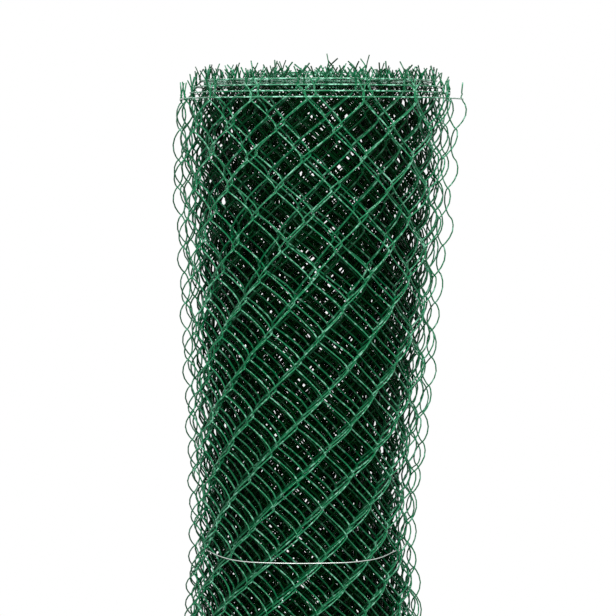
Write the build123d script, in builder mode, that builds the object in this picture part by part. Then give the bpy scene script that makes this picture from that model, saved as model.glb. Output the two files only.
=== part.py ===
"""A free-standing roll of plastic-coated chain-link fence with a line wire threaded along each edge.

The fabric is wound round an open bore, and its turns have slid along each other while it was wound: the
innermost turn stands highest, and each turn further out stands a little lower. One tie wire pinches the roll
at half height, so it is narrower there than at its ends. The wound fabric is one turned solid whose turns
show on both ends as a spiral wall.

+Z is up, along the roll's axis, and the origin is on that axis at the foot of the outermost turn.
Lengths are in millimetres.
"""

import os
from math import cos, exp, radians, sin

from build123d import *

# The fabric
FABRIC_HEIGHT = 1250.0  # one turn, from the tips of its lower edge to the tips of its upper edge
TIP_LENGTH = 20.0  # the twisted wire ends stand this far past the line wire
TURN_THICKNESS = 4.5  # one turn of fabric, pressed by its neighbours

# The roll
TURNS = 21  # turns counted along one radius
BORE_RADIUS = 50.0
RIM_RADIUS = 190.0  # over the outermost turn at either end of the roll
OUTER_RISE = 22.0  # the turns stand this far above the outermost, a few turns in
OUTER_RISE_TURNS = 2.0  # most of that rise is made within about this many turns of the outside
CORE_RISE = 12.0  # the innermost turn stands this much further up
RIM_MERGE = 1.0  # each end of the spiral wall runs this far off the middle of the rim that it joins
OUTER_END = 100.0  # where the fabric ends on the outside, in degrees round from the front

# The outside between the rims: how far it is pinched in from the rims, at heights above the foot
WAIST_PINCH = 37.0
WAIST_HEIGHT = 633.0
UPPER_FLARE_PINCH = 19.0
UPPER_FLARE_HEIGHT = 930.0
UPPER_RIM_DEPTH = 80.0  # the upper rim is straight for this far down
LOWER_FLARE_PINCH = 8.0
LOWER_FLARE_HEIGHT = 330.0
LOWER_RIM_DEPTH = 60.0  # the lower rim is straight for this far up

# The wires round the roll
LINE_WIRE_DIAMETER = 2.5
LINE_WIRE_GAP = 8.0  # opening between the two ends of the exposed turn, in degrees
TIE_WIRE_DIAMETER = 2.0
TIE_WIRE_DEPTH = 3.5  # the tie wire's centre lies this far inside the waist
PIGTAIL_LENGTH = 32.0  # the tie wire's two ends, twisted together
PIGTAIL_ANGLE = 148.0  # where the tie is twisted, in degrees round from the front
SEAT_CLEARANCE = 0.2  # between a wire and the channel that it lies in

OVERRUN = 5.0  # how far a cutting or joining shape runs past the face it meets

wall_centre_inner = BORE_RADIUS + TURN_THICKNESS / 2 + RIM_MERGE
wall_centre_outer = RIM_RADIUS - TURN_THICKNESS / 2 - RIM_MERGE
turn_pitch = (wall_centre_outer - wall_centre_inner) / (TURNS - 1)
line_wire_top_z = FABRIC_HEIGHT - TIP_LENGTH
line_wire_bottom_z = TIP_LENGTH
full_rise = OUTER_RISE + CORE_RISE
waist_radius = RIM_RADIUS - WAIST_PINCH


def rise_at(turns_in):
    """How far the fabric stands above the outermost turn, this many turns in from the outside."""
    near_core = turns_in / (TURNS - 1)
    return OUTER_RISE * (1 - exp(-turns_in / OUTER_RISE_TURNS)) + CORE_RISE * near_core**3


def radius_at(turns_in):
    """The radius of the fabric's middle, this many turns in from the outside."""
    return wall_centre_outer - turns_in * turn_pitch


def floor_points(edge_z):
    """Three points along the end of the solid between its rims, where the line wire lies in each turn."""
    middle = (TURNS - 1) / 3
    return (
        (BORE_RADIUS + TURN_THICKNESS, edge_z + full_rise),
        (radius_at(middle), edge_z + rise_at(middle)),
        (RIM_RADIUS - TURN_THICKNESS, edge_z),
    )


def build_spiral_wall(upper_end):
    """The turns between the two rims at one end, as half circles that follow each other outwards."""
    with BuildPart() as wall:
        for half_turn in range(2 * (TURNS - 1)):
            rise = rise_at(TURNS - 1 - (half_turn + 0.5) / 2)
            low = line_wire_top_z - OVERRUN if upper_end else rise
            high = FABRIC_HEIGHT + rise if upper_end else line_wire_bottom_z + full_rise + OVERRUN
            first_angle = 0 if half_turn % 2 == 0 else 180
            centre = (-turn_pitch / 4 if half_turn % 2 == 0 else turn_pitch / 4, 0)
            radius = wall_centre_inner + turn_pitch / 4 + half_turn * turn_pitch / 2
            with BuildSketch(Plane.XY.offset(low).rotated((0, 0, OUTER_END - 90))):
                with BuildLine():
                    inner = CenterArc(centre, radius - TURN_THICKNESS / 2, first_angle, 180)
                    outer = CenterArc(centre, radius + TURN_THICKNESS / 2, first_angle, 180)
                    Line(inner @ 0, outer @ 0)
                    Line(inner @ 1, outer @ 1)
                make_face()
            extrude(amount=high - low)
    return wall.part


def build_channel(wire_radius, centre_radius, centre_z):
    """What is cut away for a wire of this radius: a ring that is open to the outside."""
    reach = RIM_RADIUS - centre_radius + OVERRUN
    width = 2 * (wire_radius + SEAT_CLEARANCE)
    with BuildPart() as channel:
        with BuildSketch(Plane.XZ):
            with Locations((centre_radius, centre_z)):
                Circle(width / 2)
                Rectangle(reach, width, align=(Align.MIN, Align.CENTER))
        revolve(axis=Axis.Z)
    return channel.part


line_wire_radius = LINE_WIRE_DIAMETER / 2
line_wire_centre = RIM_RADIUS - line_wire_radius - SEAT_CLEARANCE
tie_wire_radius = TIE_WIRE_DIAMETER / 2
tie_wire_centre = waist_radius - TIE_WIRE_DEPTH

# The wound fabric
with BuildPart() as fence_roll:
    with BuildSketch(Plane.XZ):
        with BuildLine():
            Polyline(
                (BORE_RADIUS + TURN_THICKNESS, line_wire_bottom_z + full_rise),
                (BORE_RADIUS + TURN_THICKNESS, full_rise),
                (BORE_RADIUS, full_rise),
                (BORE_RADIUS, FABRIC_HEIGHT + full_rise),
                (BORE_RADIUS + TURN_THICKNESS, FABRIC_HEIGHT + full_rise),
                (BORE_RADIUS + TURN_THICKNESS, line_wire_top_z + full_rise),
            )
            ThreePointArc(*floor_points(line_wire_top_z))
            Polyline(
                (RIM_RADIUS - TURN_THICKNESS, line_wire_top_z),
                (RIM_RADIUS - TURN_THICKNESS, FABRIC_HEIGHT),
                (RIM_RADIUS, FABRIC_HEIGHT),
                (RIM_RADIUS, FABRIC_HEIGHT - UPPER_RIM_DEPTH),
            )
            Spline(
                (RIM_RADIUS, FABRIC_HEIGHT - UPPER_RIM_DEPTH),
                (RIM_RADIUS - UPPER_FLARE_PINCH, UPPER_FLARE_HEIGHT),
                (waist_radius, WAIST_HEIGHT),
                (RIM_RADIUS - LOWER_FLARE_PINCH, LOWER_FLARE_HEIGHT),
                (RIM_RADIUS, LOWER_RIM_DEPTH),
                tangents=[(0, -1), (0, -1)],
            )
            Polyline(
                (RIM_RADIUS, LOWER_RIM_DEPTH),
                (RIM_RADIUS, 0),
                (RIM_RADIUS - TURN_THICKNESS, 0),
                (RIM_RADIUS - TURN_THICKNESS, line_wire_bottom_z),
            )
            ThreePointArc(*floor_points(line_wire_bottom_z))
        make_face()
    revolve(axis=Axis.Z)
    add(build_spiral_wall(upper_end=True))
    add(build_spiral_wall(upper_end=False))
    add(build_channel(line_wire_radius, line_wire_centre, line_wire_top_z), mode=Mode.SUBTRACT)
    add(build_channel(line_wire_radius, line_wire_centre, line_wire_bottom_z), mode=Mode.SUBTRACT)
    add(build_channel(tie_wire_radius, tie_wire_centre, WAIST_HEIGHT), mode=Mode.SUBTRACT)
fence_roll.part.label = "fence_roll"


def build_line_wire(height):
    """The exposed outer turn of a line wire, open where the fabric ends."""
    start_angle = OUTER_END - 90 + LINE_WIRE_GAP
    with BuildPart() as line_wire:
        with BuildLine():
            turn = CenterArc((0, 0, height), line_wire_centre, start_angle, 360 - LINE_WIRE_GAP)
        with BuildSketch(Plane(turn @ 0, z_dir=turn % 0)):
            Circle(line_wire_radius)
        sweep()
    return line_wire


line_wire_top = build_line_wire(line_wire_top_z)
line_wire_top.part.label = "line_wire_top"

line_wire_bottom = build_line_wire(line_wire_bottom_z)
line_wire_bottom.part.label = "line_wire_bottom"

# The tie wire: a ring at the waist, and its two ends twisted together outside the roll
pigtail_radius = TIE_WIRE_DIAMETER
pigtail_centre = waist_radius + pigtail_radius + SEAT_CLEARANCE
pigtail_turn = radians(PIGTAIL_ANGLE - 90)
outwards = Vector(cos(pigtail_turn), sin(pigtail_turn), 0)
along = Vector(-sin(pigtail_turn), cos(pigtail_turn), 0)
waist_centre = Vector(0, 0, WAIST_HEIGHT)

with BuildPart() as tie_wire:
    with BuildSketch(Plane.XZ):
        with Locations((tie_wire_centre, WAIST_HEIGHT)):
            Circle(tie_wire_radius)
    revolve(axis=Axis.Z)
    with BuildSketch(Plane(waist_centre + outwards * tie_wire_centre, z_dir=outwards)):
        Circle(tie_wire_radius)
    extrude(amount=pigtail_centre - tie_wire_centre)
    with BuildSketch(Plane(waist_centre + outwards * pigtail_centre - along * pigtail_radius, z_dir=along)):
        Circle(pigtail_radius)
    extrude(amount=PIGTAIL_LENGTH)
tie_wire.part.label = "tie_wire"

os.makedirs("parts", exist_ok=True)
for piece in (fence_roll, line_wire_top, line_wire_bottom, tie_wire):
    export_step(piece.part, f"parts/{piece.part.label}.step")
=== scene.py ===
"""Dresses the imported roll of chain-link fence: the woven fabric wire by wire, its line wires and its tie.

The fabric is worked out flat and then wound. On the flat fabric a place is given by its column, counted in
half diamonds from the inner end, by its row, counted in half diamonds down from the upper edge, and by how
far it stands out of the fabric's middle. Each wire zigzags between two columns and hooks round its
neighbours in every row.

Lengths are in metres, and angles are counted round from the front, positive towards +X.
"""

import bmesh
import bpy
import numpy as np
from math import cos, pi, radians, sin
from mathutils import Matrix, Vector


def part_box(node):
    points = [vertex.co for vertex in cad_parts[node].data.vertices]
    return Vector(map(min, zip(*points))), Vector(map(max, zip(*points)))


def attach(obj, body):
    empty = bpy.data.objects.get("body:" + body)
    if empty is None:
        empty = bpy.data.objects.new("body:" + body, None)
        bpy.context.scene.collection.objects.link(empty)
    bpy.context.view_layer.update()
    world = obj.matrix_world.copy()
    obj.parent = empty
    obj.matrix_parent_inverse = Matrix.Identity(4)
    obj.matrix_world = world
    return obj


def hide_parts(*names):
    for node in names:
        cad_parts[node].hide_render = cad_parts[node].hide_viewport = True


bl_info = {
    "name": "Chain-Link Roll",
    "version": (1, 0, 0),
    "blender": (4, 5, 0),
    "location": "View3D > Sidebar > Fence Roll",
    "description": "Weaves and winds a roll of plastic-coated chain-link fence in its frame",
    "category": "Add Mesh",
}

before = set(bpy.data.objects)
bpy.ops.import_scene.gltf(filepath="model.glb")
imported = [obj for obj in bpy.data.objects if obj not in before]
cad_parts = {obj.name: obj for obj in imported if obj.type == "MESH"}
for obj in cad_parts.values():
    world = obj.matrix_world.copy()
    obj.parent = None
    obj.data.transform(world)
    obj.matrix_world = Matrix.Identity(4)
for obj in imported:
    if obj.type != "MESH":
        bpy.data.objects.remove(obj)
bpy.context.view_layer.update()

LINE_WIRE_TOP_Z = (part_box("line_wire_top")[0].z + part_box("line_wire_top")[1].z) / 2
LINE_WIRE_BOTTOM_Z = (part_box("line_wire_bottom")[0].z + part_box("line_wire_bottom")[1].z) / 2
TIE_RING_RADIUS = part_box("tie_wire")[1].x
RIM_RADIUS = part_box("fence_roll")[1].x
OUTER_TIPS_Z = 1.250  # the upper tips of the outermost turn

# How the wires of the turns lie to each other
FRONT_PHASE = 0.22  # where the front lies between two nodes of the outermost turn, in diamonds
IN_LINE_ANGLE = -0.12  # the outer turns' wires lie in line here, in radians round from the front
IN_LINE_SPAN = 1.4  # and as far as this to either side, in radians
IN_LINE_TURNS = 6  # as many turns under the outermost lie in line with it
IN_LINE_RISE = 0.001  # they creep up by this much more than their slide at the waist
IN_LINE_SPREAD = 0.032  # and miss the line by up to this, in diamonds
SCATTERED_PHASE = 0.414  # from one inner turn to the next, in diamonds, so that none fall in line
OUTER_LOOSENESS = 0.09  # the share of the winding's depth by which the outermost turn stands off
SLIDING_TURNS = 4.5  # as many turns have slid up on the next at the waist
SHADE_AND_WEAR_TURNS = 2.1  # half of the wear is gone, and half of the painted shade has set in, this many turns in

# Heights of the rows of diamonds
NODE_HANG = 0.0035  # the first and last nodes lie this far inside the line wires
HALF_ROW_ABOVE = 0.0379  # a half row above the waist
HALF_ROW_BELOW = 0.0362  # a half row below it
HALF_ROW_MEAN = 0.0375
WAIST_CLOSING = 0.0028  # the half rows are lower by this much at the waist
WAIST_REACH = 0.18  # and by less and less over this height to either side


# Settings


class FabricSettings(bpy.types.PropertyGroup):
    wire_diameter: bpy.props.FloatProperty(
        name="Wire Diameter",
        description="As drawn, to match the photograph: the real wire is read as 2.5 mm",
        default=0.0020,
        min=0.001,
        unit="LENGTH",
    )
    diamond_width: bpy.props.FloatProperty(
        name="Diamond Width",
        description="From node to node across one diamond, at the rim",
        default=0.0705,
        min=0.02,
        unit="LENGTH",
    )
    half_rows: bpy.props.IntProperty(
        name="Half Rows",
        description="Half diamonds from the upper line wire to the lower one",
        default=33,
        min=2,
    )
    bow: bpy.props.FloatProperty(
        name="Leg Bow",
        description="How far the middle of a leg stands out of the fabric's middle",
        default=0.0074,
        min=0.001,
        unit="LENGTH",
    )
    tip_length: bpy.props.FloatProperty(
        name="Tip Length",
        description="From the line wire to the cut ends of a twisted pair",
        default=0.0195,
        min=0.005,
        unit="LENGTH",
    )
    unevenness: bpy.props.FloatProperty(
        name="Unevenness",
        description="How far a node may lie from its even place",
        default=0.0011,
        min=0.0,
        unit="LENGTH",
    )


class RollSettings(bpy.types.PropertyGroup):
    turns: bpy.props.IntProperty(
        name="Turns",
        description="Full turns from the fabric's inner end to its outer end",
        default=20,
        min=3,
    )
    inner_radius: bpy.props.FloatProperty(
        name="Inner Radius",
        description="Of the innermost turn's middle",
        default=0.0585,
        min=0.02,
        unit="LENGTH",
    )
    outer_end: bpy.props.FloatProperty(
        name="Outer End",
        description="Where the fabric ends, round from the front",
        default=radians(98),
        subtype="ANGLE",
    )
    rise: bpy.props.FloatProperty(
        name="Rise",
        description="How far the innermost turn stands above the outermost",
        default=0.034,
        unit="LENGTH",
    )
    twist: bpy.props.FloatProperty(
        name="Waist Twist",
        description="How far the front of the waist is turned against the rims",
        default=radians(15.6),
        subtype="ANGLE",
    )
    gather: bpy.props.FloatProperty(
        name="Waist Gather",
        description="How much the waist's diamonds are spread in front and gathered at the back",
        default=0.157,
        min=0.0,
        max=0.5,
    )
    waist_slide: bpy.props.FloatProperty(
        name="Waist Slide",
        description="How far each of the outer turns has slid up on the next at the waist",
        default=0.0083,
        unit="LENGTH",
    )
    flare: bpy.props.FloatProperty(
        name="End Flare",
        description="How far the upper corner of the outer end springs away",
        default=0.006,
        unit="LENGTH",
    )


class FinishSettings(bpy.types.PropertyGroup):
    coating_colour: bpy.props.FloatVectorProperty(
        name="Coating",
        description="Colour of the plastic coating",
        subtype="COLOR",
        size=4,
        min=0.0,
        max=1.0,
        default=(0.003, 0.138, 0.050, 1.0),
    )
    # Painted shade: the inner turns' coating is darkened to stand for the shade deep inside the roll
    coating_painted_shade: bpy.props.FloatVectorProperty(
        name="Inner Coating",
        description="Colour on the inner turns, darkened to match the photograph's depths",
        subtype="COLOR",
        size=4,
        min=0.0,
        max=1.0,
        default=(0.0001, 0.012, 0.0016, 1.0),
    )
    # Partly real scuffs and dust, partly painted highlight: the pale patches stand in for broken highlights
    # along the lit outer wires
    coating_scuff_and_highlight: bpy.props.FloatVectorProperty(
        name="Scuffed Coating",
        description="Colour of the coating where it is rubbed or dusty",
        subtype="COLOR",
        size=4,
        min=0.0,
        max=1.0,
        default=(0.250, 0.590, 0.420, 1.0),
    )
    zinc_colour: bpy.props.FloatVectorProperty(
        name="Zinc",
        description="Colour of the tie wire, darker than real zinc",
        subtype="COLOR",
        size=4,
        min=0.0,
        max=1.0,
        default=(0.052, 0.086, 0.070, 1.0),
    )


class StageSettings(bpy.types.PropertyGroup):
    camera_distance: bpy.props.FloatProperty(
        name="Camera Distance",
        description="From the roll's axis to the camera",
        default=3.138,
        min=0.5,
        unit="LENGTH",
    )
    camera_height: bpy.props.FloatProperty(
        name="Camera Height",
        description="Of the camera above the floor",
        default=1.177,
        unit="LENGTH",
    )
    camera_tilt: bpy.props.FloatProperty(
        name="Camera Tilt",
        description="How far the camera looks down",
        default=radians(4.13),
        subtype="ANGLE",
    )
    focal_length: bpy.props.FloatProperty(
        name="Focal Length",
        description="On a 36 mm sensor",
        default=136.8,
        min=10.0,
        unit="CAMERA",
    )


# The shape of the roll


def outline_from_frame():
    """Heights and radii of the CAD roll's outside, from its foot to its upper rim."""
    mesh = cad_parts["fence_roll"].data
    co = np.empty(len(mesh.vertices) * 3)
    mesh.vertices.foreach_get("co", co)
    co = co.reshape(-1, 3)
    radius = np.hypot(co[:, 0], co[:, 1])
    low, high = LINE_WIRE_BOTTOM_Z + 0.004, LINE_WIRE_TOP_Z - 0.004
    edges = np.linspace(low, high, 49)
    heights = [0.0]
    radii = [RIM_RADIUS]
    for a, b in zip(edges, edges[1:]):
        inside = (co[:, 2] >= a) & (co[:, 2] < b) & (radius > TIE_RING_RADIUS + 0.001)
        if inside.any():
            best = np.argmax(radius * inside)
            heights.append(co[best, 2])
            radii.append(radius[best])
    return np.array(heights + [OUTER_TIPS_Z]), np.array(radii + [RIM_RADIUS])


OUTLINE_Z, OUTLINE_R = outline_from_frame()

# How far the wires stand past that outline, by height
EASED_Z = np.array(
    [0, 0.50, 0.57, 0.64, 0.70, 0.76, 0.82, 0.88, 0.93, 0.98, 1.04, 1.10, 1.16, 1.23, 1.30]
)
EASED_R = np.array([0, 4, 3, 0, 3, 6, 7, 6, 3, 0, 0, 2, 4, 5, 5]) / 1000

# How far the roll leans to one side, by height
LEAN_Z = np.array([0, 0.30, 0.56, 0.64, 0.72, 0.80, 0.88, 1.00, 1.15, 1.23, 1.30])
LEAN_X = np.array([0, -3, -8, -8, -6, -1, 3, 6, 8, 14, 15]) / 1000

# Slow waves in the outside: how many round the roll, how many up it, and their share of the height
WAVES = ((3, 5.0, 1.0), (7, 9.0, 0.6), (2, 14.0, 0.7), (5, 3.0, 0.6))
WAVE_HEIGHT = 0.0011


def smooth(value, start, end):
    """0 before start, 1 after end, and an even curve between them."""
    t = np.clip((value - start) / (end - start), 0, 1)
    return t * t * (3 - 2 * t)


class Winding:
    """Where a place on the flat fabric lies once the fabric is wound and pinched."""

    def __init__(self, fabric, roll):
        self.fabric = fabric
        self.roll = roll
        rng = np.random.default_rng(7)
        self.start_angle = roll.outer_end
        self.end_angle = roll.outer_end + 2 * pi * roll.turns
        self.outer_middle = RIM_RADIUS - fabric.bow - fabric.wire_diameter / 2
        self.waist_middle = OUTLINE_R.min() - fabric.bow - fabric.wire_diameter / 2
        angle = np.linspace(self.start_angle, self.end_angle, 4001)
        radius = self.wound_radius(angle, self.outer_middle)
        length = np.concatenate([[0], np.cumsum((radius[1:] + radius[:-1]) / 2 * np.diff(angle))])
        diamonds = length / fabric.diamond_width
        self.row_z = self.row_heights(np.arange(fabric.half_rows + 1))
        self.angle_table = angle
        self.column_table = 2 * (diamonds + self.step_shift(angle, diamonds, rng))
        self.columns = int(self.column_table[-1])
        self.loose = rng.uniform(-0.45, 0.45, roll.turns + 3)
        self.loose[roll.turns :] = 0
        self.nudge = rng.normal(0, 1, (3, self.columns + 8, fabric.half_rows + 3)).clip(-2, 2)
        self.ripple = rng.uniform(0, 2 * pi, 4)

    def step_shift(self, angle, diamonds, rng):
        """How far the diamonds are shifted so that the outer turns' wires lie in line, and the rest don't.

        The shift is made up at the back of the roll and stays the same across each turn's front.
        """
        roll = self.roll
        marks = 2 * pi * np.arange(1, roll.turns + 1) + IN_LINE_ANGLE
        at_marks = np.interp(marks, angle, diamonds)
        row_height = (LINE_WIRE_TOP_Z - LINE_WIRE_BOTTOM_Z) / self.fabric.half_rows * 2
        wanted = np.floor(at_marks) + SCATTERED_PHASE * np.arange(roll.turns) % 1
        at_front = np.interp(2 * pi * roll.turns, angle, diamonds)
        wanted[-1] = at_marks[-1] + (FRONT_PHASE - at_front + 0.5) % 1 - 0.5
        for i in range(roll.turns - 2, roll.turns - 2 - IN_LINE_TURNS, -1):
            slid = self.slide_at_waist(marks[i]) - self.slide_at_waist(marks[i + 1])
            higher = slid + IN_LINE_RISE
            missed = rng.uniform(-IN_LINE_SPREAD, IN_LINE_SPREAD)
            in_line = wanted[i + 1] - higher / row_height + missed
            wanted[i] = in_line - np.round(in_line - at_marks[i])
        ends = np.stack([marks - IN_LINE_SPAN, marks + IN_LINE_SPAN], axis=1).ravel()
        return np.interp(angle, ends, np.repeat(wanted - at_marks, 2))

    def row_heights(self, rows):
        """Heights of the half rows from the top down: they lie closer together near the waist."""
        waist = (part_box("tie_wire")[0].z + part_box("tie_wire")[1].z) / 2
        top = LINE_WIRE_TOP_Z - NODE_HANG
        foot = LINE_WIRE_BOTTOM_Z + NODE_HANG
        z = np.linspace(top, foot, len(rows))
        for _ in range(40):
            middle = (z[1:] + z[:-1]) / 2
            close = np.exp(-(((middle - waist) / WAIST_REACH) ** 2))
            step = np.where(middle > waist, HALF_ROW_ABOVE, HALF_ROW_BELOW) - WAIST_CLOSING * close
            fresh = top - np.concatenate([[0], np.cumsum(step)])
            z = top - (top - fresh) * (top - foot) / (top - fresh[-1])
        return z

    def wound_radius(self, angle, outside):
        """Radius of the fabric's middle: the turns lie evenly, but the outermost stands off."""
        inner = self.turns_in(angle)
        even = 1 - inner / self.roll.turns
        spread = (1 - OUTER_LOOSENESS) * even + OUTER_LOOSENESS * np.exp(-inner)
        return self.roll.inner_radius + (outside - self.roll.inner_radius) * spread

    def turns_in(self, angle):
        """Turns in from the outside, counted in steps that are taken at the back of the roll."""
        count = angle / (2 * pi) + 0.28
        base = np.floor(count)
        return np.maximum(self.roll.turns - (base + smooth(count - base, 0.56, 1.0)), 0)

    def rise_of(self, angle):
        """How far the ends of the fabric stand above those of its outermost turn."""
        last = self.roll.turns - 1
        share = np.interp(self.turns_in(angle), (0, 3, 7, last - 1, last), (0, 0.70, 0.50, 0.50, 1))
        return self.roll.rise * share

    def slide_at_waist(self, angle):
        """The same at the waist, where only the outer turns have slid up, by about as much each."""
        return self.roll.waist_slide * np.minimum(self.turns_in(angle), SLIDING_TURNS)

    def place(self, column, row, out):
        """Points in the roll for arrays of columns, rows and distances out of the fabric's middle."""
        fabric = self.fabric
        angle = np.interp(column, self.column_table, self.angle_table)
        base_z = np.interp(row, np.arange(len(self.row_z)), self.row_z)
        below = np.where(row > fabric.half_rows, fabric.half_rows - row, 0)
        beyond = np.where(row < 0, -row, below)
        base_z = base_z + beyond * HALF_ROW_ABOVE
        outside = np.interp(base_z, OUTLINE_Z, OUTLINE_R) - (RIM_RADIUS - self.outer_middle)
        squeeze = (self.outer_middle - outside) / (self.outer_middle - self.waist_middle)
        outside = outside + np.interp(base_z, EASED_Z, EASED_R)
        radius = self.wound_radius(angle, outside)
        left = (self.end_angle - angle) / (2 * pi)
        near_end = np.exp(-((left / 0.9) ** 2)) * (0.35 + 0.65 * np.sin(angle))
        radius = radius + self.roll.flare * (smooth(base_z, 0.90, 1.20) * near_end)
        turn = np.clip(angle / (2 * pi), 0, self.roll.turns + 1)
        loose = np.interp(turn, np.arange(len(self.loose)), self.loose)
        turned = angle + squeeze * (self.roll.twist + self.roll.gather * np.sin(angle))
        turned = turned + loose * fabric.diamond_width / radius * smooth(base_z, 0.88, 1.12)
        share = angle / self.end_angle
        for i, (many, tall, size) in enumerate(WAVES):
            wave = np.sin(many * angle * 0.97 + tall * base_z + self.ripple[i])
            radius = radius + WAVE_HEIGHT * size * wave * share
        rise = self.rise_of(angle)
        inside = smooth(base_z, 1.15, 0.80) * smooth(base_z, 0.06, 0.35)
        z = base_z + rise + (self.slide_at_waist(angle) - rise) * inside
        lean = np.interp(base_z, LEAN_Z, LEAN_X)
        r = radius + out
        return np.stack([lean + r * np.sin(turned), -r * np.cos(turned), z], axis=-1)

    def shade_and_wear_share(self, column):
        """Painted shade and wear by turn: 1 on the outermost turn, which is lit and rubbed, falling off to
        0, full painted shade, in the turns that its neighbours cover.
        """
        angle = np.interp(column, self.column_table, self.angle_table)
        return 1 / (1 + (self.turns_in(angle) / SHADE_AND_WEAR_TURNS) ** 3)

    def nudged(self, column, row):
        """Small steady offsets (across, down, out) that every wire shares at a node."""
        c = np.clip(column.astype(int), 0, self.nudge.shape[1] - 1)
        r = np.clip(row.astype(int), 0, self.nudge.shape[2] - 1)
        return self.nudge[:, c, r] * self.fabric.unevenness


# Wires and tubes


def wire_line(winding, wire, steps, seed):
    """The middle line of one wire of the fabric, from its upper cut end to its lower one."""
    fabric = winding.fabric
    half_width = fabric.diamond_width / 2
    rng = np.random.default_rng(seed)
    rows = fabric.half_rows
    hook = fabric.wire_diameter * 0.52 / half_width
    column = []
    row = []
    out = []
    for leg in range(rows):
        upper_right = (wire + leg) % 2
        start = wire + upper_right
        end = wire + 1 - upper_right
        hook_start = hook if upper_right else -hook
        shift_a = winding.nudged(np.array([start]), np.array([leg]))[:, 0]
        shift_b = winding.nudged(np.array([end]), np.array([leg + 1]))[:, 0]
        t = np.array(steps)
        if upper_right:
            along = np.clip((t - 0.04) / 0.92, 0, 1)
        else:
            along = np.where(t < 0.6, 1.15 * t, 1 - 0.4 * (1 - t) - 0.9375 * (1 - t) ** 2)
        facing = 1.0 if upper_right else -1.0
        column.append(
            start
            + hook_start
            + (end - hook_start - start - hook_start) * along
            + (shift_a[0] * (1 - t) + shift_b[0] * t) / half_width
        )
        row.append(leg + t + (shift_a[1] * (1 - t) + shift_b[1] * t) / HALF_ROW_MEAN)
        out.append(
            facing * fabric.bow * np.sin(pi * t) ** 0.75
            + (shift_a[2] * (1 - t) + shift_b[2] * t) * 1.2
        )
    last_right = (wire + rows) % 2
    column = np.concatenate(column + [np.array([wire + last_right + (hook if last_right else -hook)])])
    row = np.concatenate(row + [np.array([float(rows)])])
    out = np.concatenate(out + [np.array([0.0])])
    body = winding.place(column, row, out)
    first_right = wire % 2
    upper = twisted_end(winding, wire + first_right, 0, first_right, 1, rng)
    lower = twisted_end(winding, wire + last_right, rows, last_right, -1, rng)
    return np.concatenate([upper[::-1], body, lower])


def twisted_end(winding, column, row, on_right, way, rng):
    """The end of a wire, twisted round its neighbour's and then bent away from it."""
    fabric = winding.fabric
    columns = np.array([column, column + 0.1])
    centre, ahead = winding.place(columns, np.full(2, float(row)), np.zeros(2))
    centre = Vector(centre)
    across = (Vector(ahead) - centre).normalized()
    outwards = across.cross(Vector((0, 0, 1))).normalized()
    pair = np.random.default_rng(1000 + column * 2 + (way > 0))
    half_turns = pair.integers(2, 4)
    spin = pi * half_turns + pair.normal(0, 0.45)
    stem = fabric.tip_length * pair.uniform(0.52, 0.68)
    lean = pair.normal(0, 0.0016, 2)
    start = 0.0 if on_right else pi
    radius = fabric.wire_diameter * 0.5
    points = []
    for i in range(1, 7):
        t = i / 6
        turn = start + spin * t
        aside = cos(turn) * radius + lean[0] * t
        forth = sin(turn) * radius + lean[1] * t
        offset = across * aside + outwards * forth
        points.append(centre + offset + Vector((0, 0, way * stem * t)))
    turn = start + spin + rng.normal(0, 0.25)
    bend = across * cos(turn) + outwards * sin(turn) * 0.8
    reach = fabric.tip_length * rng.uniform(0.22, 0.60)
    climb = fabric.tip_length * (rng.uniform(0.40, 0.80) if way > 0 else rng.uniform(0.36, 0.50))
    for t in (0.35, 1.0):
        offset = across * lean[0] + outwards * lean[1] + bend * (radius + reach * t)
        points.append(centre + offset + Vector((0, 0, way * (stem + climb * t**0.9))))
    return np.array(points)


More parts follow.
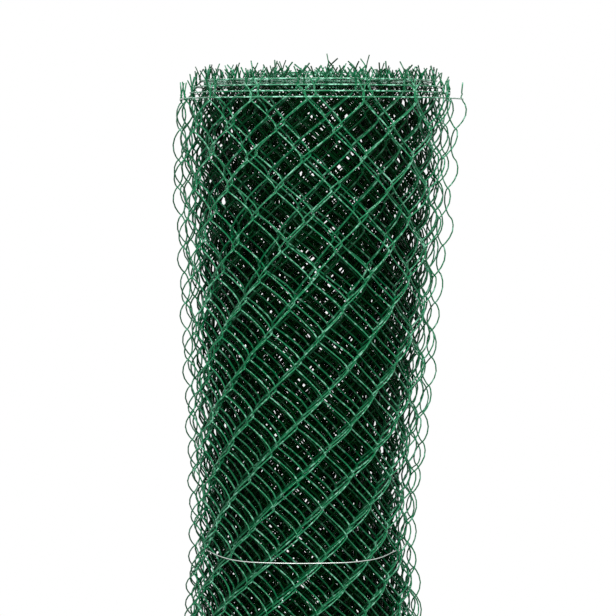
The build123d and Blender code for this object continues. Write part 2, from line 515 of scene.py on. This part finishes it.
def tubes_from_lines(name, lines, diameter, sides_level, cyclic=False, shade_and_wear=None, tip_width=1):
    """One mesh of round wires along the given lines.

    For each line a pair of values says how far its wire is lit and rubbed rather than darkened by painted
    shade: one for its length, and one for its tips above the roll's upper edge.
    """
    curve = bpy.data.curves.new(name + "_line", "CURVE")
    curve.dimensions = "3D"
    curve.bevel_depth = diameter / 2
    curve.bevel_resolution = sides_level
    curve.use_fill_caps = not cyclic
    for line in lines:
        spline = curve.splines.new("POLY")
        spline.points.add(len(line) - 1)
        spline.points.foreach_set("co", np.column_stack([line, np.ones(len(line))]).ravel())
        if tip_width != 1:
            at_tip = smooth(line[:, 2], LINE_WIRE_TOP_Z - 0.004, LINE_WIRE_TOP_Z + 0.004)
            spline.points.foreach_set("radius", 1 + (tip_width - 1) * at_tip)
        spline.use_cyclic_u = cyclic
    holder = bpy.data.objects.new(name + "_holder", curve)
    bpy.context.scene.collection.objects.link(holder)
    bpy.context.view_layer.update()
    graph = bpy.context.evaluated_depsgraph_get()
    mesh = bpy.data.meshes.new_from_object(holder.evaluated_get(graph))
    bpy.data.objects.remove(holder)
    bpy.data.curves.remove(curve)
    mesh.name = name
    mesh.shade_smooth()
    corners = 4 + 2 * sides_level
    shade_and_wear_pairs = np.ones((len(lines), 2)) if shade_and_wear is None else np.array(shade_and_wear)
    along = np.repeat(shade_and_wear_pairs, [corners * len(line) for line in lines], axis=0)
    caps = np.empty((0, 2)) if cyclic else np.repeat(shade_and_wear_pairs[::-1], 2 * corners, axis=0)
    inside, edge = np.concatenate([caps, along]).T
    co = np.empty(len(mesh.vertices) * 3)
    mesh.vertices.foreach_get("co", co)
    # Painted light: above the upper line wire the tips stand clear of the roll, so there the painted shade
    # gives way to the tips' own value
    shade_lifted_at_top = smooth(co[2::3], LINE_WIRE_TOP_Z + 0.013, LINE_WIRE_TOP_Z + 0.034)
    values = (inside + (np.maximum(inside, edge) - inside) * shade_lifted_at_top).astype(np.float32)
    mesh.attributes.new("shade_and_wear", "FLOAT", "POINT").data.foreach_set("value", values)
    bm = bmesh.new()
    bm.from_mesh(mesh)
    bmesh.ops.remove_doubles(bm, verts=bm.verts, dist=1e-6)
    bm.to_mesh(mesh)
    bm.free()
    obj = bpy.data.objects.new(name, mesh)
    bpy.context.scene.collection.objects.link(obj)
    return obj


# Finishes


def wire_wear_group():
    """Slow drifts of tone and fine scuffs along drawn wire, as masks for a material to use."""
    name = "wire_wear"
    if name in bpy.data.node_groups:
        return bpy.data.node_groups[name]
    group = bpy.data.node_groups.new(name, "ShaderNodeTree")
    face = group.interface
    scale = face.new_socket("Scale", in_out="INPUT", socket_type="NodeSocketFloat")
    scale.default_value = 1.0
    face.new_socket("Drift", in_out="OUTPUT", socket_type="NodeSocketFloat")
    face.new_socket("Scuff", in_out="OUTPUT", socket_type="NodeSocketFloat")
    face.new_socket("Grain", in_out="OUTPUT", socket_type="NodeSocketFloat")
    nodes, links = group.nodes, group.links
    entry = nodes.new("NodeGroupInput")
    leave = nodes.new("NodeGroupOutput")
    coords = nodes.new("ShaderNodeTexCoord")
    sized = nodes.new("ShaderNodeVectorMath")
    sized.operation = "SCALE"
    links.new(coords.outputs["Object"], sized.inputs[0])
    links.new(entry.outputs["Scale"], sized.inputs["Scale"])
    for label, size, detail, low, high in (
        ("Drift", 14.0, 2.0, 0.35, 0.65),
        ("Scuff", 130.0, 4.0, 0.53, 0.64),
        ("Grain", 900.0, 2.0, 0.30, 0.70),
    ):
        noise = nodes.new("ShaderNodeTexNoise")
        noise.inputs["Scale"].default_value = size
        noise.inputs["Detail"].default_value = detail
        spread = nodes.new("ShaderNodeMapRange")
        spread.inputs["From Min"].default_value = low
        spread.inputs["From Max"].default_value = high
        links.new(sized.outputs["Vector"], noise.inputs["Vector"])
        links.new(noise.outputs["Fac"], spread.inputs["Value"])
        links.new(spread.outputs["Result"], leave.inputs[label])
    return group


# Specular level of the coating, kept low because the white surroundings veil the dark green; the inner
# turns' copy has it all but off, painted shade that keeps the depths from showing a reflection
GLOSS = {"green_pvc_coating": 0.14, "green_pvc_shaded_inner": 0.02}


def coated_wire_material(name, finish):
    """Green plastic with painted shade: darkened on the inner turns to match the photograph, and scuffed,
    partly painted highlight, on the outer.
    """
    material = bpy.data.materials.new(name)
    material.use_nodes = True
    nodes, links = material.node_tree.nodes, material.node_tree.links
    shader = nodes["Principled BSDF"]
    shader.inputs["IOR"].default_value = 1.5
    shader.inputs["Specular IOR Level"].default_value = GLOSS[name]
    wear = nodes.new("ShaderNodeGroup")
    wear.node_tree = wire_wear_group()
    # The mask is 0 for painted shade on the inner turns and 1 for the lit, rubbed outer turns
    shade_and_wear_share = nodes.new("ShaderNodeAttribute")
    shade_and_wear_share.attribute_name = "shade_and_wear"
    # Painted shade: the dark colour on the inner turns gives way to the coating's own colour on the lit
    # outer turns
    fresh = nodes.new("ShaderNodeMix")
    fresh.data_type = "RGBA"
    fresh.inputs["A"].default_value = finish.coating_painted_shade
    fresh.inputs["B"].default_value = finish.coating_colour
    links.new(shade_and_wear_share.outputs["Fac"], fresh.inputs["Factor"])
    # Pale patches on the lit outer turns: partly scuffs, partly painted highlight
    rubbed = nodes.new("ShaderNodeMix")
    rubbed.data_type = "RGBA"
    rubbed.inputs["B"].default_value = finish.coating_scuff_and_highlight
    links.new(fresh.outputs["Result"], rubbed.inputs["A"])
    patches = nodes.new("ShaderNodeMath")
    patches.operation = "MULTIPLY_ADD"
    patches.inputs[1].default_value = 0.55
    drift = nodes.new("ShaderNodeMath")
    drift.operation = "MULTIPLY"
    drift.inputs[1].default_value = 0.07
    covered = nodes.new("ShaderNodeMath")
    covered.operation = "MULTIPLY"
    links.new(wear.outputs["Scuff"], patches.inputs[0])
    links.new(wear.outputs["Drift"], drift.inputs[0])
    links.new(drift.outputs["Value"], patches.inputs[2])
    links.new(patches.outputs["Value"], covered.inputs[0])
    links.new(shade_and_wear_share.outputs["Fac"], covered.inputs[1])
    links.new(covered.outputs["Value"], rubbed.inputs["Factor"])
    links.new(rubbed.outputs["Result"], shader.inputs["Base Color"])
    rough = nodes.new("ShaderNodeMapRange")
    rough.inputs["To Min"].default_value = 0.12
    rough.inputs["To Max"].default_value = 0.25
    links.new(covered.outputs["Value"], rough.inputs["Value"])
    links.new(rough.outputs["Result"], shader.inputs["Roughness"])
    skin = nodes.new("ShaderNodeBump")
    skin.inputs["Strength"].default_value = 0.12
    skin.inputs["Distance"].default_value = 0.0002
    links.new(wear.outputs["Grain"], skin.inputs["Height"])
    links.new(skin.outputs["Normal"], shader.inputs["Normal"])
    return material


def zinc_wire_material(name, finish):
    """Dull galvanised soft steel."""
    material = bpy.data.materials.new(name)
    material.use_nodes = True
    nodes, links = material.node_tree.nodes, material.node_tree.links
    shader = nodes["Principled BSDF"]
    shader.inputs["Metallic"].default_value = 0.85
    wear = nodes.new("ShaderNodeGroup")
    wear.node_tree = wire_wear_group()
    wear.inputs["Scale"].default_value = 2.0
    tone = nodes.new("ShaderNodeMix")
    tone.data_type = "RGBA"
    tone.inputs["A"].default_value = finish.zinc_colour
    tone.inputs["B"].default_value = [min(1.0, 1.35 * v) for v in finish.zinc_colour[:3]] + [1.0]
    rough = nodes.new("ShaderNodeMapRange")
    rough.inputs["To Min"].default_value = 0.38
    rough.inputs["To Max"].default_value = 0.58
    skin = nodes.new("ShaderNodeBump")
    skin.inputs["Strength"].default_value = 0.2
    skin.inputs["Distance"].default_value = 0.0002
    links.new(wear.outputs["Scuff"], tone.inputs["Factor"])
    links.new(tone.outputs["Result"], shader.inputs["Base Color"])
    links.new(wear.outputs["Drift"], rough.inputs["Value"])
    links.new(rough.outputs["Result"], shader.inputs["Roughness"])
    links.new(wear.outputs["Grain"], skin.inputs["Height"])
    links.new(skin.outputs["Normal"], shader.inputs["Normal"])
    return material


def background_rays(nodes, links):
    """1 for what is seen straight, in a gloss or through glass, and 0 for light that is scattered."""
    rays = nodes.new("ShaderNodeLightPath")
    glossy = nodes.new("ShaderNodeMath")
    glossy.operation = "MAXIMUM"
    through = nodes.new("ShaderNodeMath")
    through.operation = "MAXIMUM"
    links.new(rays.outputs["Is Camera Ray"], glossy.inputs[0])
    links.new(rays.outputs["Is Glossy Ray"], glossy.inputs[1])
    links.new(glossy.outputs["Value"], through.inputs[0])
    links.new(rays.outputs["Is Transmission Ray"], through.inputs[1])
    return through.outputs["Value"]


def floor_material():
    """A matt pale floor, which throws little of its light back up at the roll."""
    material = bpy.data.materials.new("studio_floor")
    material.use_nodes = True
    nodes, links = material.node_tree.nodes, material.node_tree.links
    shader = nodes["Principled BSDF"]
    shader.inputs["Roughness"].default_value = 0.9
    tone = nodes.new("ShaderNodeMix")
    tone.data_type = "RGBA"
    tone.inputs["A"].default_value = (0.12, 0.12, 0.12, 1.0)
    tone.inputs["B"].default_value = (0.92, 0.92, 0.92, 1.0)
    links.new(background_rays(nodes, links), tone.inputs["Factor"])
    links.new(tone.outputs["Result"], shader.inputs["Base Color"])
    return material


def material_once(name, make, finish):
    """The named material, made only if it isn't there yet."""
    return bpy.data.materials.get(name) or make(name, finish)


def finish_piece(obj, material, replaced):
    """Give a piece its material, hang it under the root body, and hide the frame's node that it replaces.
    """
    obj.data.materials.clear()
    obj.data.materials.append(material)
    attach(obj, "root")
    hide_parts(replaced)
    return obj


# Operators

# Where the points of a leg lie along it
FINE_STEPS = (0.0, 0.05, 0.12, 0.28, 0.5, 0.72, 0.88, 0.95)
PLAIN_STEPS = (0.0, 0.09, 0.33, 0.67, 0.91)

INNER_STOUTNESS = 1.38  # the inner turns' square wires are then about 2.5 mm wide on the mean
TIP_WIDTH = 0.95  # the twisted ends against the wires of the outermost turn

TIE_DIAMETER = 0.0013
TIE_TWIST_DIAMETER = 0.0014
TIE_TWIST_ANGLE = radians(148)  # round from the front
TIE_TWIST_LENGTH = 0.032
TIE_TWIST_TURNS = 5
TIE_STRAND_OFFSET = 0.0009  # each strand's middle from the middle of the twist


def tip_light_and_wear(wire):
    """How far the upper tips of a wire, which stand clear above the roll, are lifted out of the painted
    shade and rubbed: most of them a little, and some a lot.
    """
    return 0.05 + 0.95 * (wire * 0.618 % 1) ** 1.4


class MESH_OT_wind_fence_fabric(bpy.types.Operator):
    """Weave the wires of the fabric and wind them into the roll"""

    bl_idname = "mesh.wind_fence_fabric"
    bl_label = "Wind Fabric"

    def execute(self, context):
        scene = context.scene
        winding = Winding(scene.fence_fabric, scene.fence_roll)
        outside = material_once("green_pvc_coating", coated_wire_material, scene.fence_finish)
        # The inner turns get the shaded copy of the coating, with its gloss all but off: painted shade
        covered = material_once("green_pvc_shaded_inner", coated_wire_material, scene.fence_finish)
        wires = winding.columns - 1
        groups = (
            ("turns_inner_a", 0.0, 0.28, PLAIN_STEPS, 0, INNER_STOUTNESS, covered),
            ("turns_inner_b", 0.28, 0.56, PLAIN_STEPS, 0, INNER_STOUTNESS, covered),
            ("turns_inner_c", 0.56, 0.84, PLAIN_STEPS, 0, INNER_STOUTNESS, covered),
            ("turns_outer_a", 0.84, 0.92, FINE_STEPS, 1, 1.15, outside),
            ("turns_outer_b", 0.92, 1.0, FINE_STEPS, 1, 1.0, outside),
        )
        for name, first, last, steps, sides, stouter, material in groups:
            chosen = range(int(wires * first), int(wires * last))
            lines = [wire_line(winding, wire, steps, 50 + wire) for wire in chosen]
            # Each wire's pair: how far it is out of the painted shade and rubbed, along its length and at
            # its tips
            shade_and_wear_pairs = [(float(winding.shade_and_wear_share(wire)), tip_light_and_wear(wire)) for wire in chosen]
            diameter = scene.fence_fabric.wire_diameter * stouter
            tips = TIP_WIDTH / stouter
            obj = tubes_from_lines(name, lines, diameter, sides, shade_and_wear=shade_and_wear_pairs, tip_width=tips)
            finish_piece(obj, material, "fence_roll")
        return {"FINISHED"}


class MESH_OT_thread_line_wires(bpy.types.Operator):
    """Thread a line wire along each edge of the wound fabric"""

    bl_idname = "mesh.thread_line_wires"
    bl_label = "Thread Line Wires"

    def execute(self, context):
        scene = context.scene
        fabric = scene.fence_fabric
        winding = Winding(fabric, scene.fence_roll)
        material = material_once("green_pvc_coating", coated_wire_material, scene.fence_finish)
        column = np.arange(0.15, winding.columns - 0.15, 0.5)
        for name, node, row, edge in (
            ("line_wire_wound_top", "line_wire_top", 0, LINE_WIRE_TOP_Z),
            ("line_wire_wound_bottom", "line_wire_bottom", fabric.half_rows, LINE_WIRE_BOTTOM_Z),
        ):
            weave = 0.0012 * np.cos(pi * (column + row))
            line = winding.place(column, np.full(len(column), float(row)), weave)
            line[:, 2] += edge - winding.row_z[0 if row == 0 else -1]
            # The line wires are out of the painted shade even on the inner turns, and carry more of the
            # pale patches, painted highlight, than the fabric
            obj = tubes_from_lines(name, [line], fabric.wire_diameter, 1, shade_and_wear=[(3.2, 3.2)])
            finish_piece(obj, material, node)
        return {"FINISHED"}


class MESH_OT_tie_fence_waist(bpy.types.Operator):
    """Tie a bare wire round the waist of the roll, with its ends twisted together"""

    bl_idname = "mesh.tie_fence_waist"
    bl_label = "Tie Waist"

    def execute(self, context):
        scene = context.scene
        low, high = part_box("tie_wire")
        middle = (low.z + high.z) / 2
        lean = float(np.interp(middle, LEAN_Z, LEAN_X))
        angle = np.linspace(0, 2 * pi, 120, endpoint=False)
        aside = np.abs(np.sin(angle))
        uneven = 0.0006 * np.cos(14 * angle + 0.5)
        pulled_in = 0.0085 * smooth(aside, 0.60, 0.86)
        radius = TIE_RING_RADIUS - 0.0014 + uneven - pulled_in
        height = middle + 0.0008 * np.cos(angle * 5) - 0.003 * np.cos(angle)
        ring = np.column_stack([lean + radius * np.sin(angle), -radius * np.cos(angle), height])
        outwards = Vector((sin(TIE_TWIST_ANGLE), -cos(TIE_TWIST_ANGLE), 0))
        along = Vector((cos(TIE_TWIST_ANGLE), sin(TIE_TWIST_ANGLE), 0))
        start = Vector((lean, 0, middle + 0.003)) + outwards * (TIE_RING_RADIUS + 0.0016)
        twisted = []
        for side in (0, pi):
            points = []
            for i in range(33):
                t = i / 32
                turn = side + t * TIE_TWIST_TURNS * 2 * pi
                spread = TIE_STRAND_OFFSET + max(t - 0.9, 0) * 0.03
                centre = start + along * (t * TIE_TWIST_LENGTH - 0.004) + outwards * (0.002 * t * t)
                strand = outwards * (cos(turn) * spread) + Vector((0, 0, sin(turn) * spread))
                points.append(tuple(centre + strand))
            twisted.append(np.array(points))
        material = material_once("galvanised_wire", zinc_wire_material, scene.fence_finish)
        ring_obj = tubes_from_lines("tie_ring", [ring], TIE_DIAMETER, 2, cyclic=True)
        twist_obj = tubes_from_lines("tie_twist", twisted, TIE_TWIST_DIAMETER, 2)
        finish_piece(ring_obj, material, "tie_wire")
        finish_piece(twist_obj, material, "tie_wire")
        return {"FINISHED"}


class SCENE_OT_set_fence_stage(bpy.types.Operator):
    """Set the floor, the lights, the white surroundings and the camera"""

    bl_idname = "scene.set_fence_stage"
    bl_label = "Set Stage"

    def execute(self, context):
        scene = context.scene
        settings = scene.fence_stage
        scene.view_settings.view_transform = "Standard"
        bm = bmesh.new()
        bmesh.ops.create_circle(bm, cap_ends=True, segments=96, radius=2.2)
        mesh = bpy.data.meshes.new("studio_floor")
        bm.to_mesh(mesh)
        bm.free()
        floor = bpy.data.objects.new("studio_floor", mesh)
        scene.collection.objects.link(floor)
        floor.data.materials.append(floor_material())
        world = bpy.data.worlds.new("studio_surroundings")
        world.use_nodes = True
        scene.world = world
        nodes, links = world.node_tree.nodes, world.node_tree.links
        nodes.clear()
        out = nodes.new("ShaderNodeOutputWorld")
        mix = nodes.new("ShaderNodeMixShader")
        light = nodes.new("ShaderNodeBackground")
        light.inputs["Color"].default_value = (0.95, 0.97, 1.0, 1.0)
        light.inputs["Strength"].default_value = 0.05
        white = nodes.new("ShaderNodeBackground")
        white.inputs["Color"].default_value = (1.0, 1.0, 1.0, 1.0)
        white.inputs["Strength"].default_value = 1.0
        links.new(background_rays(nodes, links), mix.inputs["Fac"])
        links.new(light.outputs["Background"], mix.inputs[1])
        links.new(white.outputs["Background"], mix.inputs[2])
        links.new(mix.outputs["Shader"], out.inputs["Surface"])
        for name, place, size, power in (
            ("softbox_left", (-1.1, -2.6, 2.2), (0.8, 0.8), 84),
            ("softbox_right", (1.1, -2.6, 2.2), (0.8, 0.8), 84),
            ("rear_softbox", (0.0, 2.4, 2.6), (2.0, 2.0), 45),
        ):
            data = bpy.data.lights.new(name, "AREA")
            data.shape = "RECTANGLE"
            data.size, data.size_y = size
            data.energy = power
            lamp = bpy.data.objects.new(name, data)
            lamp.location = place
            aim = Vector((0, 0, 0.75)) - Vector(place)
            lamp.rotation_euler = aim.to_track_quat("-Z", "Y").to_euler()
            scene.collection.objects.link(lamp)
        camera_data = bpy.data.cameras.new("photo_camera")
        camera_data.sensor_width = 36.0
        camera_data.lens = settings.focal_length
        camera_data.clip_end = 50.0
        camera = bpy.data.objects.new("photo_camera", camera_data)
        camera.location = (0, -settings.camera_distance, settings.camera_height)
        camera.rotation_euler = (pi / 2 - settings.camera_tilt, 0, 0)
        scene.collection.objects.link(camera)
        scene.camera = camera
        return {"FINISHED"}


class VIEW3D_PT_fence_roll(bpy.types.Panel):
    """Sizes, colours and steps of the fence roll"""

    bl_label = "Fence Roll"
    bl_idname = "VIEW3D_PT_fence_roll"
    bl_space_type = "VIEW_3D"
    bl_region_type = "UI"
    bl_category = "Fence Roll"

    def draw(self, context):
        layout = self.layout
        for title, settings in PANEL_SETTINGS:
            group = getattr(context.scene, settings)
            box = layout.box()
            box.label(text=title)
            for name in type(group).__annotations__:
                box.prop(group, name)
        for operator in STEPS:
            layout.operator(operator.bl_idname)


STEPS = (
    MESH_OT_wind_fence_fabric,
    MESH_OT_thread_line_wires,
    MESH_OT_tie_fence_waist,
    SCENE_OT_set_fence_stage,
)
SETTINGS = (FabricSettings, RollSettings, FinishSettings, StageSettings)
PANEL_SETTINGS = (
    ("Fabric", "fence_fabric"),
    ("Roll", "fence_roll"),
    ("Finish", "fence_finish"),
    ("Stage", "fence_stage"),
)


def register():
    for cls in SETTINGS + STEPS + (VIEW3D_PT_fence_roll,):
        bpy.utils.register_class(cls)
    for (_, name), cls in zip(PANEL_SETTINGS, SETTINGS):
        setattr(bpy.types.Scene, name, bpy.props.PointerProperty(type=cls))


def unregister():
    for _, name in PANEL_SETTINGS:
        delattr(bpy.types.Scene, name)
    for cls in reversed(SETTINGS + STEPS + (VIEW3D_PT_fence_roll,)):
        bpy.utils.unregister_class(cls)


def main():
    register()
    bpy.ops.mesh.wind_fence_fabric()
    bpy.ops.mesh.thread_line_wires()
    bpy.ops.mesh.tie_fence_waist()
    bpy.ops.scene.set_fence_stage()


if __name__ == "__main__":
    main()
